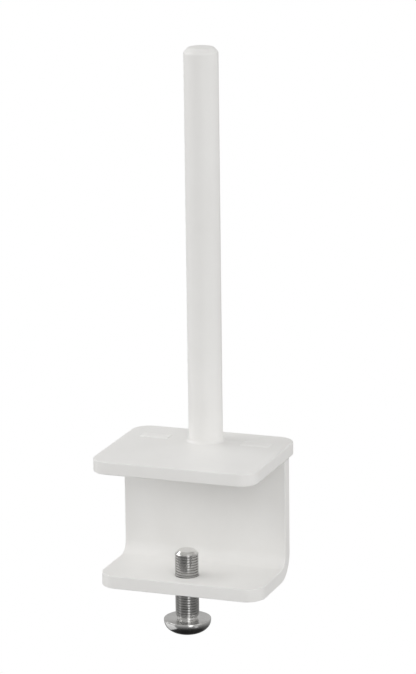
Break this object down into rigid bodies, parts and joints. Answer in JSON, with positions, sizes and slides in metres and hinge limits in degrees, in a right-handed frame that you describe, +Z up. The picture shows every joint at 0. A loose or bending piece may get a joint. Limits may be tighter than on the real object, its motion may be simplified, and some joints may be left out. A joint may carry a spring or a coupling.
{
  "type": "desk clamp with lamp post",
  "caption": "Steel clamp for a desk's edge: a top plate, a bent bracket and a screw from below grip the desk, and an upright round post above carries a lamp's arm.",
  "frame": {"origin": "where the desk's top edge meets the clamp: the underside of the top plate (z = 0) at the inner face of the back wall (y = 0), at the middle of the clamp's width", "axes": "+Z up along the post, -Y the way the jaw opens and the desk leaves, +X to the right seen from the desk's side"},
  "size_m": [0.08, 0.0646, 0.2709],
  "materials": {
    "white_powder_coat": "fine smooth white powder coat, satin, over bent and welded steel; the welds are coated too",
    "bright_steel": "bright bare steel screw, turned and polished, with a fine rolled thread"
  },
  "bodies": {
    "clamp": {"top_plate": "white_powder_coat", "clamp_bracket": "white_powder_coat", "post": "white_powder_coat", "post_weld": "white_powder_coat", "left_tab_weld": "white_powder_coat", "right_tab_weld": "white_powder_coat", "back_seam_weld": "white_powder_coat"},
    "screw": {"clamp_screw": "bright_steel"}
  },
  "joints": [
    {"name": "clamp_screw_slide", "type": "slide", "parent": "clamp", "child": "screw", "axis": [0, 0, 1], "range_m": [-0.011, 0.0148]}
  ]
}
